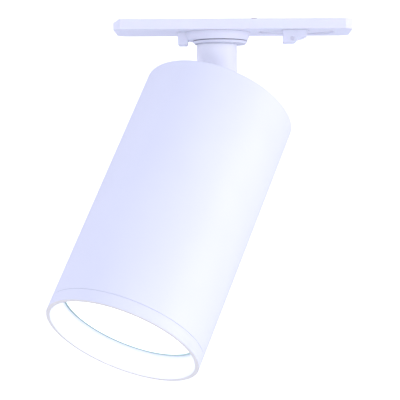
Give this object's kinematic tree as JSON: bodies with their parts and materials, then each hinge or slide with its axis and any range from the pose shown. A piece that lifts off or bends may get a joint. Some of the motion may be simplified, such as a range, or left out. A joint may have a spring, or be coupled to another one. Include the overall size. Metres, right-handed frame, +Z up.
{
  "type": "track spotlight",
  "caption": "Cylindrical track spotlight: a slim track adapter with a contact lever and a lock dial, a short panning stem and a tilting tube-shaped lamp head.",
  "frame": {"origin": "on the pan axis, in the adapter's top face, which lies against the track", "axes": "+Z up into the track, +X along the track from the stem towards the lock dial, +Y across the track"},
  "size_m": [0.1148, 0.1007, 0.139],
  "materials": {
    "white_paint": "fine matt powder coat",
    "white_plastic": "moulded, fine matt texture",
    "pale_plastic": "moulded",
    "steel": "zinc plated",
    "dark_steel": "blackened spring steel",
    "cast_zinc": "die cast, lightly tumbled",
    "copper": "rolled copper alloy",
    "red_wire": "silicone insulation",
    "white_cable": "silicone sheath",
    "black_rubber": "moulded rubber",
    "circuit_board": "solder mask on glass fibre",
    "transformer_tape": "wound tape",
    "capacitor_sleeve": "shrink sleeve",
    "terminal_plastic": "moulded nylon",
    "bare_aluminium": "machined",
    "led_board_mask": "white solder mask on aluminium",
    "phosphor": "silicone over phosphor",
    "reflector_white": "diffuse white moulding",
    "frosted_glass": "frosted inside, bare green-tinted edge"
  },
  "bodies": {
    "adapter": {"adapter_cover": "white_plastic", "adapter_lid": "pale_plastic", "adapter_screws": "steel", "dial_spring": "steel"},
    "contact_lever": {"contact_lever": "white_plastic", "contact_rotor": "pale_plastic", "contact_blades": "copper", "contact_leads": "red_wire", "shim_upper": "dark_steel", "friction_washer": "white_plastic", "shim_lower": "pale_plastic"},
    "lock_dial": {"lock_dial": "white_plastic", "lock_tongue": "steel", "lock_screw": "steel"},
    "stem": {"stem_tube": "white_paint", "stem_nut": "steel", "stem_tongue": "cast_zinc", "stem_set_screw": "steel", "stem_cable": "white_cable"},
    "head": {"pivot_pin": "steel", "pivot_washers": "pale_plastic", "hinge_bracket": "cast_zinc", "rear_cap": "white_paint", "cap_screws": "steel", "cable_grommet": "black_rubber", "head_cable": "white_cable", "housing_tube": "white_paint", "driver_cup": "pale_plastic", "driver_board": "circuit_board", "driver_transformer": "transformer_tape", "driver_capacitors": "capacitor_sleeve", "driver_terminal": "terminal_plastic", "heat_sink": "bare_aluminium", "led_wires": "red_wire", "led_board": "led_board_mask", "led_chip": "phosphor", "led_screws": "steel", "reflector": "reflector_white", "lens_gasket": "black_rubber", "front_glass": "frosted_glass"},
    "front_ring": {"front_ring": "white_paint"}
  },
  "joints": [
    {"name": "contact_turn", "type": "hinge", "parent": "adapter", "child": "contact_lever", "pos_m": [0, 0, -0.005], "axis": [0, 0, 1], "range_deg": [0, 90]},
    {"name": "lock_turn", "type": "hinge", "parent": "adapter", "child": "lock_dial", "pos_m": [0.0311, 0, -0.003], "axis": [0, 0, 1], "range_deg": [0, 90]},
    {"name": "stem_pan", "type": "hinge", "parent": "adapter", "child": "stem", "pos_m": [0, 0, -0.005], "axis": [0, 0, 1], "range_deg": [-175, 175]},
    {"name": "head_tilt", "type": "hinge", "parent": "stem", "child": "head", "pos_m": [0, 0, -0.0346], "axis": [-0.8018, 0.5976, 0], "range_deg": [-33.7, 11.3]},
    {"name": "ring_turn", "type": "hinge", "parent": "head", "child": "front_ring", "pos_m": [0, 0, -0.0346], "axis": [0.3316, 0.4449, 0.832], "range_deg": [0, 30]}
  ]
}
